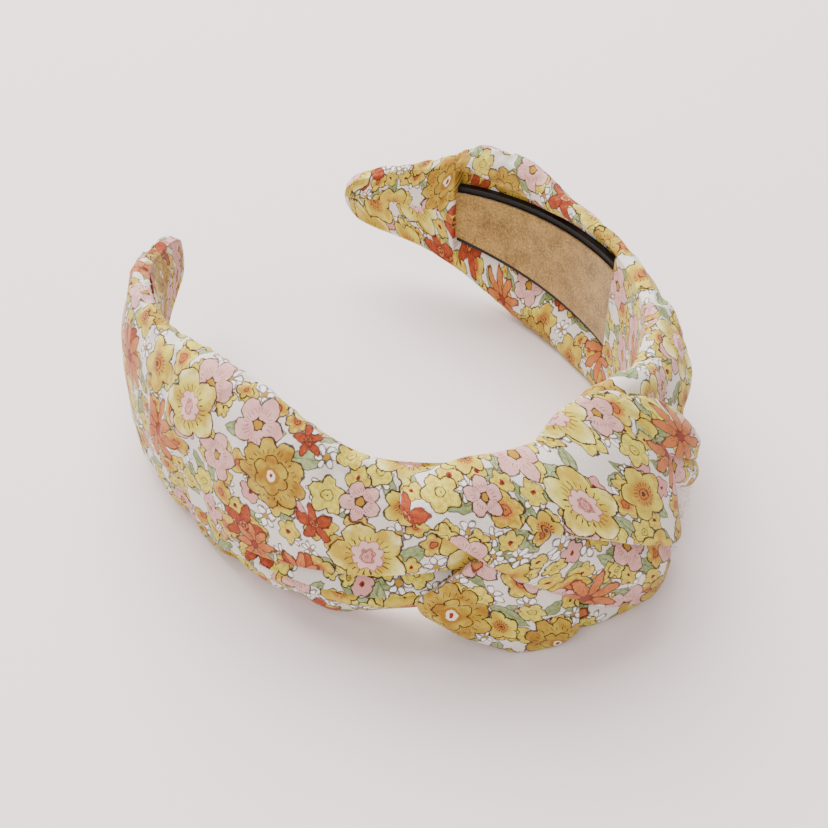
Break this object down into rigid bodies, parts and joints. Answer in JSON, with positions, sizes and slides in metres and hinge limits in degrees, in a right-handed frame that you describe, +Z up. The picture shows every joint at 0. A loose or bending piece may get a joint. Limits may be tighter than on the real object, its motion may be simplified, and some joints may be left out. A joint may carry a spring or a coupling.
{
  "type": "knotted headband",
  "caption": "Springy U-shaped hair band: a tapered plastic strip with a soft lining, covered in wide gathered cotton with a turban knot at the crown.",
  "frame": {"origin": "on the surface the headband lies on, under the middle of its bounding box", "axes": "+Z up, across the width of the band, so the headband lies on its side as in the source object; the knot faces -Y and both tips point back towards +Y; +X is the right arm"},
  "size_m": [0.1398, 0.17, 0.0575],
  "materials": {
    "printed_cotton": "plain-weave cotton printed with small watercolour flowers, matt",
    "black_plastic": "satin black moulded plastic strip",
    "tan_lining": "tan brushed suede-cloth ribbon",
    "clear_glue": "set hot-melt glue, translucent ivory"
  },
  "bodies": {
    "crown": {"core_crown": "black_plastic", "lining_crown": "tan_lining", "crown_sleeve": "printed_cotton", "knot_wrap": "printed_cotton", "knot_lower_lobe": "printed_cotton", "knot_upper_lobe": "printed_cotton", "knot_glue": "clear_glue"},
    "left_arm": {"core_left": "black_plastic", "lining_left": "tan_lining", "left_arm_fabric": "printed_cotton", "left_tip_glue": "clear_glue"},
    "right_arm": {"core_right": "black_plastic", "lining_right": "tan_lining", "right_arm_fabric": "printed_cotton", "right_tip_glue": "clear_glue"}
  },
  "joints": [
    {"name": "left_arm_flex", "type": "hinge", "parent": "crown", "child": "left_arm", "pos_m": [-0.03371, -0.04921, 0.031], "axis": [0, 0, 1], "range_deg": [-4, 12], "stiffness_Nm_per_rad": 1},
    {"name": "right_arm_flex", "type": "hinge", "parent": "crown", "child": "right_arm", "pos_m": [0.03545, -0.04921, 0.031], "axis": [0, 0, -1], "range_deg": [-4, 12], "stiffness_Nm_per_rad": 1}
  ]
}
